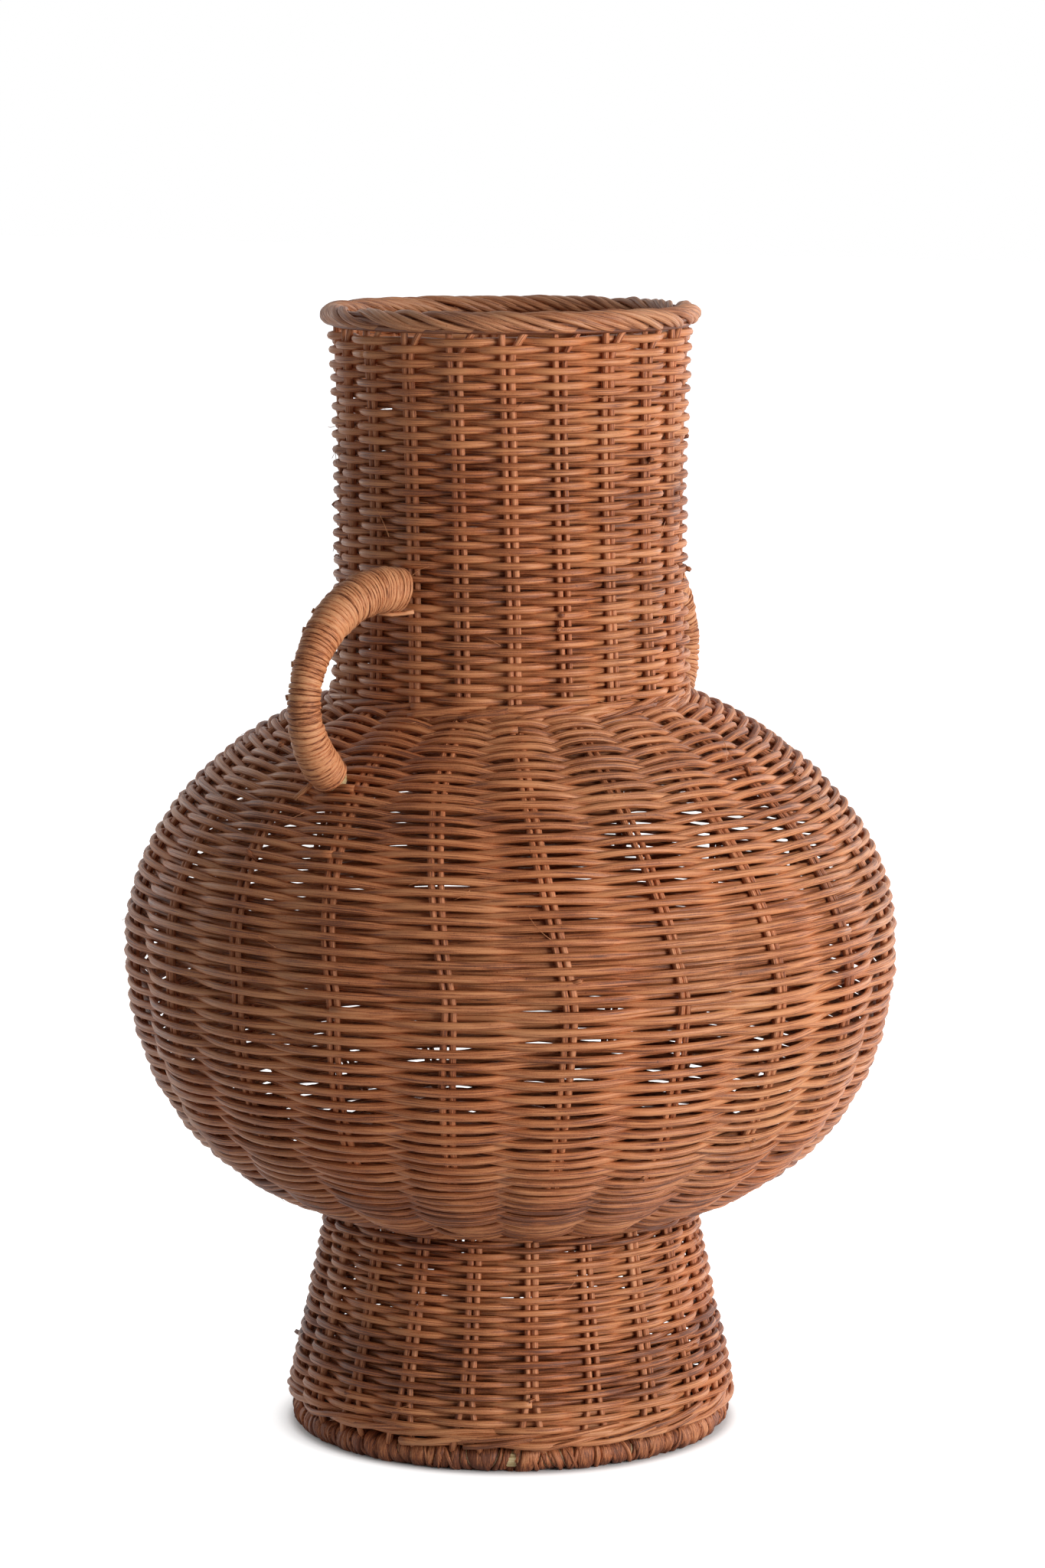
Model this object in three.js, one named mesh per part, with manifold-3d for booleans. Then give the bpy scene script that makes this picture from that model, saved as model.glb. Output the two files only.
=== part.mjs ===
// A tall floor vase woven from rattan cane: a flared foot on a lashed hoop, a round belly, a straight neck,
// a rolled rim and two small lashed handles. Millimetres, +Z up. The vase stands on the floor at z = 0 with
// its axis on Z and its left handle on -X. The right handle is nearly opposite.
import * as THREE from "three";
import { mergeVertices } from "three/addons/utils/BufferGeometryUtils.js";
import Module from "manifold-3d";

const wasm = await Module();
wasm.setup();

// The outline, over the weave, with the heights of its stretches from the foot up.
const FOOT_HEIGHT = 91.9;
const LOWER_BELLY_HEIGHT = 115.1;
const UPPER_BELLY_HEIGHT = 108;
const NECK_HEIGHT = 163.4;
const RIM_HEIGHT = 10;
const FOOT_DIAMETER = 201.4;
const FOOT_FLARE = 1.5;
const FOOT_SWELL = 0.085;
const WAIST_FLARE = 6.4;
const WAIST_EASE = 0.518;
const WAIST_DIAMETER = 167.4;
const UNDERSIDE_REACH = 0.655;
const UNDERSIDE_RISE = 0.104;
const UNDERSIDE_ROUNDNESS = 0.483;
const BELLY_DIAMETER = 344;
const NECK_DIAMETER = 160;
const NECK_DRAWN_IN = 2.2;
const RIM_OVERHANG = 4.5;
const RIM_LIP = 1.8;
const RIM_ROUNDNESS = 0.35;

// The canes. Each row of the weave passes in front of one stake and behind the next, so the wall is as thick
// as a stake and two weavers.
const STAKE = 2.6;
const WEAVER = 3.2;
const STAKE_PAIRS = 21;
const RIM_SOCKET_SHARE = 0.4;

// On the belly the stakes stand far apart, and its face is drawn in by this much halfway between two pairs.
const BELLY_DRAWN_IN = 3;

// How far the stakes have wandered round the vase, in degrees from the handles' line.
const STAKE_FOOT_ANGLE = 7.5;
const STAKE_BELLY_ANGLE = 10.8;
const STAKE_NECK_ANGLE = 4;
const STAKE_RIM_ANGLE = 1.2;

// The hoop under the foot: a bent pole and the flat strip that is lashed round it.
const HOOP_INSET = 4;
const HOOP_POLE = 6.8;
const HOOP_TURNS = 30;
const HOOP_STRIP_THICKNESS = 1.2;
const HOOP_STRIP_SHARE = 0.78;
const STANDING_FLAT = 0.5;

// The floor of the vase: a woven round mat with two pairs of crossed sticks in it.
const FLOOR_STICK = 3.2;
const FLOOR_COVER = 1.3;
const FLOOR_STICK_SPREAD = 18;

// The handles: a bent pole that is seated in the neck and the shoulder, and the strip that is wound round it.
// A handle's reach is a share of how far the belly stands out past the neck.
const HANDLE_POLE = 11;
const HANDLE_RISE = 53.6;
const HANDLE_LIFT = 9;
const HANDLE_REACH_SHARE = 0.7315;
const HANDLE_DROP = 43;
const HANDLE_ROUNDNESS = 0.58;
const HANDLE_FOOT_SHARE = 0.683;
const HANDLE_FOOT_ANGLE = 30;
const HANDLE_FOOT_ROUNDNESS = 0.4;
const HANDLE_RIGHT_ANGLE = 2.6;
const HANDLE_SEAT_SHARE = 0.7;
const HANDLE_BARE_TOP = 3.5;
const HANDLE_BARE_FOOT = 6.5;
const HANDLE_TURNS = 22;
const HANDLE_STRIP_THICKNESS = 1.3;
const HANDLE_STRIP_SHARE = 0.62;

// Gaps between pieces that touch on the real vase.
const SEAM = 0.3;
const CLEARANCE = 0.3;

// How finely round shapes are divided. The wall has a corner at each pair of stakes and one between pairs.
const WALL_SIDES = 2 * STAKE_PAIRS;
const STAKE_SIDES = 4;
const POLE_SIDES = 8;
const HOOP_POLE_SIDES = 6;
const TURN_STEPS = 6;
const FOOT_STEPS = 3;
const BELLY_STEPS = 5;
const NECK_STEPS = 2;
const HANDLE_STEPS = 8;

const WEAVE_COLOUR = 0xb1744c;
const STAKE_COLOUR = 0xb98054;
const RIM_COLOUR = 0xb57a50;
const STRIP_COLOUR = 0xc88c5f;
const POLE_COLOUR = 0xd3b583;
const FLOOR_COLOUR = 0x9a6443;
const CANE_ROUGHNESS = 0.62;
const POLE_ROUGHNESS = 0.45;

const wallThickness = STAKE + 2 * WEAVER;
const halfWall = wallThickness / 2;
const facet = Math.cos(Math.PI / WALL_SIDES);

const vase = new THREE.Group();
vase.name = "rattan_vase";

// Adds one named piece to the vase.
function addPiece(name, geometry, colour, roughness) {
  const material = new THREE.MeshStandardMaterial({ color: colour, roughness, metalness: 0 });
  const mesh = new THREE.Mesh(geometry, material);
  mesh.name = name;
  vase.add(mesh);
}

// A geometry as a solid that can be cut.
function toSolid(geometry) {
  const bare = new THREE.BufferGeometry();
  bare.setAttribute("position", geometry.getAttribute("position"));
  bare.setIndex(geometry.index);
  const merged = mergeVertices(bare, 1e-4);
  const mesh = new wasm.Mesh({
    numProp: 3,
    vertProperties: new Float32Array(merged.getAttribute("position").array),
    triVerts: new Uint32Array(merged.index.array),
  });
  mesh.merge();
  return new wasm.Manifold(mesh);
}

// A cut solid as a geometry again.
function toGeometry(solid) {
  const mesh = solid.getMesh();
  const geometry = new THREE.BufferGeometry();
  geometry.setAttribute("position", new THREE.BufferAttribute(mesh.vertProperties, 3));
  geometry.setIndex(new THREE.BufferAttribute(mesh.triVerts, 1));
  geometry.computeVertexNormals();
  return geometry;
}

// A closed skin over a row of rings with equally many points, each turning right-handed about the way on.
function loft(rings) {
  const sides = rings[0].length;
  const points = rings.flat();
  const faces = [];
  for (let start = 0; start + sides < points.length; start += sides) {
    for (let side = 0; side < sides; side += 1) {
      const here = start + side;
      const next = start + ((side + 1) % sides);
      faces.push(here, next, next + sides);
      faces.push(here, next + sides, here + sides);
    }
  }
  const last = points.length - sides;
  for (let side = 1; side + 1 < sides; side += 1) {
    faces.push(0, side + 1, side);
    faces.push(last, last + side, last + side + 1);
  }
  const geometry = new THREE.BufferGeometry().setFromPoints(points);
  geometry.setIndex(faces);
  geometry.computeVertexNormals();
  return geometry;
}

// A closed outline of radius and height points, turned about Z with the middle of a facet on X.
function turned(outline, sides) {
  const firstEdge = Math.PI / 2 + Math.PI / sides;
  const geometry = new THREE.LatheGeometry([...outline, outline[0].clone()], sides, firstEdge);
  geometry.rotateX(Math.PI / 2);
  return geometry;
}

// Heights: the hoop lies on the flats of its lashing, and the wall starts just above it.
const footRadius = FOOT_DIAMETER / 2 - halfWall;
const hoopRadius = footRadius - HOOP_INSET;
const hoopFlatness = hoopRadius * (1 - facet);
const turnFacet = Math.cos(Math.PI / TURN_STEPS);
const hoopStripIn = (HOOP_POLE / 2 + hoopFlatness + CLEARANCE) / turnFacet;
const hoopStripOut = hoopStripIn + HOOP_STRIP_THICKNESS;
const hoopZ = hoopStripOut - STANDING_FLAT;
const wallBottomZ = hoopZ + hoopStripOut + SEAM;
const waistZ = wallBottomZ + FOOT_HEIGHT;
const bellyZ = waistZ + LOWER_BELLY_HEIGHT;
const neckBaseZ = bellyZ + UPPER_BELLY_HEIGHT;
const wallTopZ = neckBaseZ + NECK_HEIGHT;
const rimBottomZ = wallTopZ + SEAM;
const totalHeight = rimBottomZ + RIM_HEIGHT;

// The wall's middle line, from the foot up. The belly is full underneath, and a quarter of an ellipse above.
const bellyRadius = BELLY_DIAMETER / 2 - halfWall;
const waistRadius = WAIST_DIAMETER / 2 - halfWall;
const neckRadius = NECK_DIAMETER / 2 - halfWall;
const neckAngle = Math.acos(neckRadius / bellyRadius);
const upperBellyAxis = UPPER_BELLY_HEIGHT / Math.sin(neckAngle);

const footLine = new THREE.CubicBezierCurve(
  new THREE.Vector2(footRadius, wallBottomZ),
  new THREE.Vector2(footRadius + FOOT_FLARE, wallBottomZ + FOOT_HEIGHT * FOOT_SWELL),
  new THREE.Vector2(waistRadius + WAIST_FLARE, waistZ - FOOT_HEIGHT * WAIST_EASE),
  new THREE.Vector2(waistRadius, waistZ),
);
const lowerBellyLine = new THREE.CubicBezierCurve(
  new THREE.Vector2(waistRadius, waistZ),
  new THREE.Vector2(
    waistRadius + (bellyRadius - waistRadius) * UNDERSIDE_REACH,
    waistZ + LOWER_BELLY_HEIGHT * UNDERSIDE_RISE,
  ),
  new THREE.Vector2(bellyRadius, bellyZ - LOWER_BELLY_HEIGHT * UNDERSIDE_ROUNDNESS),
  new THREE.Vector2(bellyRadius, bellyZ),
);
const upperBellyLine = new THREE.EllipseCurve(
  0, bellyZ, bellyRadius, upperBellyAxis, 0, neckAngle, false, 0,
);
const neckLine = new THREE.QuadraticBezierCurve(
  new THREE.Vector2(neckRadius, neckBaseZ),
  new THREE.Vector2(neckRadius - 2 * NECK_DRAWN_IN, (neckBaseZ + wallTopZ) / 2),
  new THREE.Vector2(neckRadius, wallTopZ),
);
const bands = [
  { name: "foot_weave", lines: [footLine], steps: FOOT_STEPS, drawnIn: 0 },
  {
    name: "belly_weave",
    lines: [lowerBellyLine, upperBellyLine],
    steps: BELLY_STEPS,
    drawnIn: BELLY_DRAWN_IN,
  },
  { name: "neck_weave", lines: [neckLine], steps: NECK_STEPS, drawnIn: 0 },
];

// The stations of the middle line. Each has a point, and an outward arrow that is mitred between the two
// stretches that meet there, so that a step along it is a step across the wall.
const middle = [footLine.getPoint(0)];
for (const band of bands) {
  band.first = middle.length - 1;
  for (const line of band.lines) {
    for (let step = 1; step <= band.steps; step += 1) {
      middle.push(line.getPoint(step / band.steps));
    }
  }
  band.last = middle.length - 1;
}
const stretches = middle.slice(1).map((point, index) => point.clone().sub(middle[index]).normalize());
const stations = middle.map((point, index) => {
  if (index === 0 || index === middle.length - 1) {
    const along = stretches[Math.min(index, stretches.length - 1)];
    return { point, outward: new THREE.Vector2(1 / along.y, 0) };
  }
  const before = new THREE.Vector2(stretches[index - 1].y, -stretches[index - 1].x);
  const after = new THREE.Vector2(stretches[index].y, -stretches[index].x);
  const outward = before.clone().add(after).divideScalar(1 + before.dot(after));
  return { point, outward };
});

// A point across the wall, sideways and up from a station, at an angle round the vase.
function wallPoint(station, across, sideways, angle, rise = 0) {
  const radius = station.point.x + station.outward.x * across;
  const height = station.point.y + station.outward.y * across + rise;
  const x = radius * Math.cos(angle) - sideways * Math.sin(angle);
  const y = radius * Math.sin(angle) + sideways * Math.cos(angle);
  return new THREE.Vector3(x, y, height);
}

// How far a stake has wandered at a height: an even drift between the places where it was measured.
function stakeTurn(z) {
  const marks = [
    [wallBottomZ, STAKE_FOOT_ANGLE],
    [bellyZ, STAKE_BELLY_ANGLE],
    [neckBaseZ, STAKE_NECK_ANGLE],
    [wallTopZ, STAKE_RIM_ANGLE],
  ];
  const upper = Math.max(1, marks.findIndex((mark) => mark[0] >= Math.min(z, wallTopZ)));
  const [lowZ, lowTurn] = marks[upper - 1];
  const [highZ, highTurn] = marks[upper];
  const share = THREE.MathUtils.clamp((z - lowZ) / (highZ - lowZ), 0, 1);
  return THREE.MathUtils.degToRad(THREE.MathUtils.lerp(lowTurn, highTurn, share));
}

// Turns a closed outline about Z, with a corner at each pair of stakes and one halfway to the next, where the
// wall has an outline of its own. The corners follow the stakes as they wander.
function turnedWithStakes(atPairs, between) {
  const row = atPairs.length + 1;
  const geometry = new THREE.LatheGeometry([...atPairs, atPairs[0]], WALL_SIDES);
  const places = geometry.getAttribute("position");
  for (let index = 0; index < places.count; index += 1) {
    const side = Math.floor(index / row);
    const outline = side % 2 === 0 ? atPairs : between;
    const point = outline[(index % row) % atPairs.length];
    const angle = Math.PI + (side * 2 * Math.PI) / WALL_SIDES + stakeTurn(point.y);
    places.setXYZ(index, point.x * Math.cos(angle), point.x * Math.sin(angle), point.y);
  }
  return geometry;
}

// The rings of something that runs up inside the wall with a section of across and sideways points.
function wallRings(section, pair, below, above) {
  const pairAngle = Math.PI + (pair * 2 * Math.PI) / STAKE_PAIRS;
  const ringAt = (station, rise) => {
    const angle = pairAngle + stakeTurn(station.point.y);
    return section.map(([across, sideways]) => wallPoint(station, across, sideways, angle, rise));
  };
  const rings = stations.map((station) => ringAt(station, 0));
  if (below > 0) {
    rings[0] = ringAt(stations[0], -below);
  }
  rings.push(ringAt(stations[stations.length - 1], above));
  return rings;
}

// The stakes stand in pairs, side by side in channels through the weave, with their tops in the rim.
const socketDepth = RIM_HEIGHT * RIM_SOCKET_SHARE;
const stakeRadius = STAKE / 2;
const pairOffset = stakeRadius + CLEARANCE / 2;
const channelHalf = stakeRadius + CLEARANCE;
const channelReach = pairOffset + channelHalf;
const channelSection = [
  [channelHalf, -channelReach],
  [channelHalf, channelReach],
  [-channelHalf, channelReach],
  [-channelHalf, -channelReach],
];
const channels = [];
for (let pair = 0; pair < STAKE_PAIRS; pair += 1) {
  channels.push(toSolid(loft(wallRings(channelSection, pair, SEAM, SEAM + socketDepth))));
  for (const [letter, side] of [["a", -1], ["b", 1]]) {
    const section = [];
    for (let corner = 0; corner < STAKE_SIDES; corner += 1) {
      const turn = (corner * 2 * Math.PI) / STAKE_SIDES;
      section.push([stakeRadius * Math.cos(turn), side * pairOffset + stakeRadius * Math.sin(turn)]);
    }
    const name = `stake_${String(pair + 1).padStart(2, "0")}_${letter}`;
    const cane = loft(wallRings(section, pair, 0, SEAM + socketDepth - CLEARANCE));
    addPiece(name, cane, STAKE_COLOUR, CANE_ROUGHNESS);
  }
}
const allChannels = wasm.Manifold.union(channels);

// The handles' middle line, as distance from the axis and height, from the neck out and down to the shoulder.
const neckOutside = (z) => {
  const share = (z - neckBaseZ) / NECK_HEIGHT;
  const drawnIn = 4 * NECK_DRAWN_IN * share * (1 - share);
  return (neckRadius - drawnIn + halfWall) * facet;
};
const handleReach = (bellyRadius - neckRadius) * HANDLE_REACH_SHARE;
const footTurn = neckAngle * HANDLE_FOOT_SHARE;
const pairsAway = (stakeTurn(bellyZ + upperBellyAxis * Math.sin(footTurn)) * STAKE_PAIRS) / (2 * Math.PI);
const footFace = halfWall - 2 * BELLY_DRAWN_IN * Math.abs(pairsAway - Math.round(pairsAway));
const shoulderPoint = new THREE.Vector2(
  (bellyRadius + footFace) * Math.cos(footTurn) * facet,
  bellyZ + (upperBellyAxis + footFace) * Math.sin(footTurn),
);
const footLean = THREE.MathUtils.degToRad(HANDLE_FOOT_ANGLE);
const footAway = new THREE.Vector2(Math.cos(footLean), Math.sin(footLean));
const neckPoint = new THREE.Vector2(neckOutside(neckBaseZ + HANDLE_RISE), neckBaseZ + HANDLE_RISE);
const widest = new THREE.Vector2(neckPoint.x + handleReach, neckPoint.y - HANDLE_DROP);
const footDrop = widest.y - shoulderPoint.y;
const handleTopLine = new THREE.CubicBezierCurve(
  neckPoint,
  new THREE.Vector2(neckPoint.x + handleReach * HANDLE_ROUNDNESS, neckPoint.y + HANDLE_LIFT),
  new THREE.Vector2(widest.x, widest.y + HANDLE_DROP * HANDLE_ROUNDNESS),
  widest,
);
const handleFootLine = new THREE.CubicBezierCurve(
  widest,
  new THREE.Vector2(widest.x, widest.y - footDrop * HANDLE_FOOT_ROUNDNESS),
  shoulderPoint.clone().addScaledVector(footAway, footDrop * HANDLE_FOOT_ROUNDNESS),
  shoulderPoint,
);
const handleLine = new THREE.CurvePath();
handleLine.add(handleTopLine);
handleLine.add(handleFootLine);

// The two handles, and the angles round the vase at which they stand.
const handles = [
  { name: "left", angle: Math.PI },
  { name: "right", angle: THREE.MathUtils.degToRad(HANDLE_RIGHT_ANGLE) },
];

// Puts a flat line of distance and height points into the plane of one handle.
function onHandle(point, angle) {
  return new THREE.Vector3(point.x * Math.cos(angle), point.x * Math.sin(angle), point.y);
}

// The way square to the plane of one handle.
function acrossHandle(angle) {
  return new THREE.Vector3(-Math.sin(angle), Math.cos(angle), 0);
}

// A ring of points round a pole, at a distance from its middle and square to the way it runs.
function poleRing(centre, along, sideways, radius, sides) {
  const up = sideways.clone().cross(along);
  const ring = [];
  for (let corner = 0; corner < sides; corner += 1) {
    const turn = (corner * 2 * Math.PI) / sides;
    const point = centre.clone().addScaledVector(up, radius * Math.cos(turn));
    ring.push(point.addScaledVector(along.clone().cross(up), radius * Math.sin(turn)));
  }
  return ring;
}

// A place on the handles' middle line, and the way the line runs there.
function handleSpot(line, share) {
  return { point: line.getPoint(share), along: line.getTangent(share) };
}

// The same way on from an end of the line, by a distance.
function runOn(end, distance) {
  return { point: end.point.clone().addScaledVector(end.along, distance), along: end.along };
}

// The rings of a round pole through such places, in the plane of one handle.
function handleRings(spots, angle, radius) {
  const sideways = acrossHandle(angle);
  return spots.map((spot) => {
    const along = onHandle(spot.along, angle);
    return poleRing(onHandle(spot.point, angle), along, sideways, radius, POLE_SIDES);
  });
}

// The pole of a handle, with both ends run on into their seats, which stop short of the stakes' channels.
const seatDepth = (halfWall - channelHalf) * HANDLE_SEAT_SHARE;
const poleEnd = seatDepth - CLEARANCE;
const neckEnd = handleSpot(handleTopLine, 0);
const footEnd = handleSpot(handleFootLine, 1);
const poleSpots = [runOn(neckEnd, -poleEnd)];
for (let step = 1; step <= HANDLE_STEPS; step += 1) {
  poleSpots.push(handleSpot(handleTopLine, step / HANDLE_STEPS));
}
for (let step = 1; step < HANDLE_STEPS; step += 1) {
  poleSpots.push(handleSpot(handleFootLine, step / HANDLE_STEPS));
}
poleSpots.push(runOn(footEnd, poleEnd));
const seatRadius = HANDLE_POLE / 2 + CLEARANCE;
const seats = [];
for (const { angle } of handles) {
  for (const end of [neckEnd, footEnd]) {
    const spots = [runOn(end, -seatDepth), runOn(end, seatDepth)];
    seats.push(toSolid(loft(handleRings(spots, angle, seatRadius))));
  }
}

// The three bands of weave, each turned from the wall's outline and cut by the stakes' channels and the
// handles' seats. The belly's face is drawn in between the stakes, except where it meets the other bands.
const wallCuts = wasm.Manifold.union([allChannels, ...seats]);
for (const band of bands) {
  const outside = [];
  const between = [];
  const inside = [];
  for (let index = band.first; index <= band.last; index += 1) {
    const station = stations[index];
    const seam = new THREE.Vector2();
    if (index === band.first && index > 0) {
      seam.addScaledVector(stretches[index], SEAM / 2);
    }
    if (index === band.last && index < stations.length - 1) {
      seam.addScaledVector(stretches[index - 1], -SEAM / 2);
    }
    const point = station.point.clone().add(seam);
    const drawnIn = index === band.first || index === band.last ? 0 : band.drawnIn;
    outside.push(point.clone().addScaledVector(station.outward, halfWall));
    between.push(point.clone().addScaledVector(station.outward, halfWall - drawnIn));
    inside.unshift(point.clone().addScaledVector(station.outward, -halfWall));
  }
  const wall = toSolid(turnedWithStakes([...outside, ...inside], [...between, ...inside]));
  addPiece(band.name, toGeometry(wall.subtract(wallCuts)), WEAVE_COLOUR, CANE_ROUGHNESS);
}

// The rim: the stakes' ends rolled into a round border, with a flat underside on the top of the neck.
const rimOut = NECK_DIAMETER / 2 + RIM_OVERHANG;
const rimIn = neckRadius - channelHalf - RIM_LIP;
const rimRound = RIM_HEIGHT * RIM_ROUNDNESS;
const rimOutline = [
  new THREE.Vector2(rimIn + rimRound / 4, rimBottomZ),
  new THREE.Vector2(rimOut - rimRound, rimBottomZ),
  new THREE.Vector2(rimOut, rimBottomZ + rimRound),
  new THREE.Vector2(rimOut, totalHeight - rimRound),
  new THREE.Vector2(rimOut - rimRound, totalHeight),
  new THREE.Vector2(rimIn + rimRound, totalHeight),
  new THREE.Vector2(rimIn, totalHeight - rimRound),
  new THREE.Vector2(rimIn, rimBottomZ + rimRound / 4),
];
const rim = toSolid(turned(rimOutline, WALL_SIDES)).subtract(allChannels);
addPiece("rim_border", toGeometry(rim), RIM_COLOUR, CANE_ROUGHNESS);

// The rings of a flat strip wound round a pole. The pole's own function gives the point at a distance along
// it, a turn round it and a height over its middle.
function stripRings(pointOn, steps, half, inner, outer) {
  return steps.map(({ distance, turn }) => [
    pointOn(distance - half, turn, inner),
    pointOn(distance + half, turn, inner),
    pointOn(distance + half, turn, outer),
    pointOn(distance - half, turn, outer),
  ]);
}

// The least distance between one turn of a strip and the next, measured between their corners.
function leastGap(rings) {
  let least = Infinity;
  for (let here = 0; here < rings.length; here += 1) {
    for (let there = here + TURN_STEPS - 1; there < rings.length; there += 1) {
      for (const a of rings[here]) {
        for (const b of rings[there]) {
          least = Math.min(least, a.distanceTo(b));
        }
      }
    }
  }
  return least;
}

// The hoop, a little inside the wall: its pole, and the strip that is lashed round it, cut flat where
// the vase stands.
const poleOutline = [];
for (let corner = 0; corner < HOOP_POLE_SIDES; corner += 1) {
  const turn = (corner * 2 * Math.PI) / HOOP_POLE_SIDES;
  const radius = hoopRadius + (HOOP_POLE / 2) * Math.cos(turn);
  poleOutline.push(new THREE.Vector2(radius, hoopZ + (HOOP_POLE / 2) * Math.sin(turn)));
}
addPiece("hoop_pole", turned(poleOutline, WALL_SIDES), POLE_COLOUR, POLE_ROUGHNESS);

function pointOnHoop(distance, turn, height) {
  const angle = distance / hoopRadius;
  const radius = hoopRadius + height * Math.cos(turn);
  const z = hoopZ + height * Math.sin(turn);
  return new THREE.Vector3(radius * Math.cos(angle), radius * Math.sin(angle), z);
}

const hoopPitch = (2 * Math.PI * hoopRadius) / HOOP_TURNS;
const hoopSteps = [];
for (let step = 0; step <= HOOP_TURNS * TURN_STEPS - TURN_STEPS / 2; step += 1) {
  const distance = (step * hoopPitch) / TURN_STEPS;
  const turn = Math.PI / 2 - (step * 2 * Math.PI) / TURN_STEPS;
  hoopSteps.push({ distance, turn });
}
const hoopHalf = (hoopPitch * HOOP_STRIP_SHARE) / 2;
const hoopRings = stripRings(pointOnHoop, hoopSteps, hoopHalf, hoopStripIn, hoopStripOut);
const underFloor = wasm.Manifold.cube([2 * BELLY_DIAMETER, 2 * BELLY_DIAMETER, totalHeight], true);
const floorCut = underFloor.translate([0, 0, -totalHeight / 2]);
const lashing = toSolid(loft(hoopRings)).subtract(floorCut);
addPiece("hoop_lashing", toGeometry(lashing), STRIP_COLOUR, CANE_ROUGHNESS);
console.log(`hoop lashing: least gap to itself ${leastGap(hoopRings).toFixed(2)} mm`);

// The handles, one at each side of the neck.
const lineLength = handleLine.getLength();
const woundLength = lineLength - HANDLE_BARE_TOP - HANDLE_BARE_FOOT;
const handlePitch = woundLength / HANDLE_TURNS;
const handleHalf = (handlePitch * HANDLE_STRIP_SHARE) / 2;
const handleStripIn = (HANDLE_POLE / 2 + CLEARANCE) / turnFacet;
const handleStripOut = handleStripIn + HANDLE_STRIP_THICKNESS;
for (const { name, angle } of handles) {
  const pole = loft(handleRings(poleSpots, angle, HANDLE_POLE / 2));
  addPiece(`handle_${name}_pole`, pole, POLE_COLOUR, POLE_ROUGHNESS);
  const pointOnHandle = (distance, turn, height) => {
    const along = onHandle(handleLine.getTangentAt(distance / lineLength), angle);
    const sideways = acrossHandle(angle);
    const up = sideways.clone().cross(along);
    const point = onHandle(handleLine.getPointAt(distance / lineLength), angle);
    point.addScaledVector(up, height * Math.cos(turn));
    return point.addScaledVector(sideways, height * Math.sin(turn));
  };
  const steps = [];
  for (let step = 0; step <= HANDLE_TURNS * TURN_STEPS; step += 1) {
    const travel = step / (HANDLE_TURNS * TURN_STEPS);
    const distance = HANDLE_BARE_TOP + handleHalf + (woundLength - 2 * handleHalf) * travel;
    steps.push({ distance, turn: (step * 2 * Math.PI) / TURN_STEPS });
  }
  const rings = stripRings(pointOnHandle, steps, handleHalf, handleStripIn, handleStripOut);
  addPiece(`handle_${name}_winding`, loft(rings), STRIP_COLOUR, CANE_ROUGHNESS);
  console.log(`handle ${name} winding: least gap to itself ${leastGap(rings).toFixed(2)} mm`);
}

// The floor: a round mat woven into the bottom of the foot, on two crossed layers of sticks.
const layerRise = FLOOR_STICK + FLOOR_COVER;
const matThickness = 2 * layerRise + FLOOR_COVER;
const insideFoot = stations.slice(0, 2).map(({ point, outward }) => point.x - outward.x * halfWall);
const matShare = matThickness / (stations[1].point.y - stations[0].point.y);
const insideOverMat = THREE.MathUtils.lerp(insideFoot[0], insideFoot[1], matShare);
const matRadius = Math.min(insideFoot[0], insideOverMat) - SEAM;
const matRound = new THREE.CylinderGeometry(matRadius, matRadius, matThickness, WALL_SIDES);
matRound.rotateX(Math.PI / 2);
matRound.rotateZ(Math.PI / WALL_SIDES + stakeTurn(wallBottomZ));
matRound.translate(0, 0, wallBottomZ + matThickness / 2);
let mat = toSolid(matRound);
const stickLength = 2 * Math.sqrt((matRadius * facet) ** 2 - FLOOR_STICK_SPREAD ** 2) - 4 * FLOOR_STICK;
for (const [layer, letter] of [[0, "a"], [1, "b"]]) {
  for (const [number, spread] of [[1, -FLOOR_STICK_SPREAD], [2, FLOOR_STICK_SPREAD]]) {
    const stick = new THREE.CylinderGeometry(FLOOR_STICK / 2, FLOOR_STICK / 2, stickLength, POLE_SIDES);
    const groove = new THREE.CylinderGeometry(
      FLOOR_STICK / 2 + CLEARANCE, FLOOR_STICK / 2 + CLEARANCE, 2 * matRadius, POLE_SIDES,
    );
    for (const round of [stick, groove]) {
      round.translate(spread, 0, wallBottomZ + FLOOR_COVER + FLOOR_STICK / 2 + layer * layerRise);
      round.rotateZ((layer * Math.PI) / 2);
    }
    mat = mat.subtract(toSolid(groove));
    addPiece(`floor_stick_${letter}${number}`, stick, STAKE_COLOUR, CANE_ROUGHNESS);
  }
}
addPiece("floor_mat", toGeometry(mat), FLOOR_COLOUR, CANE_ROUGHNESS);

export default vase;
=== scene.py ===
import math

import bmesh
import bpy
import numpy as np
from mathutils import Matrix, Vector


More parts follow.
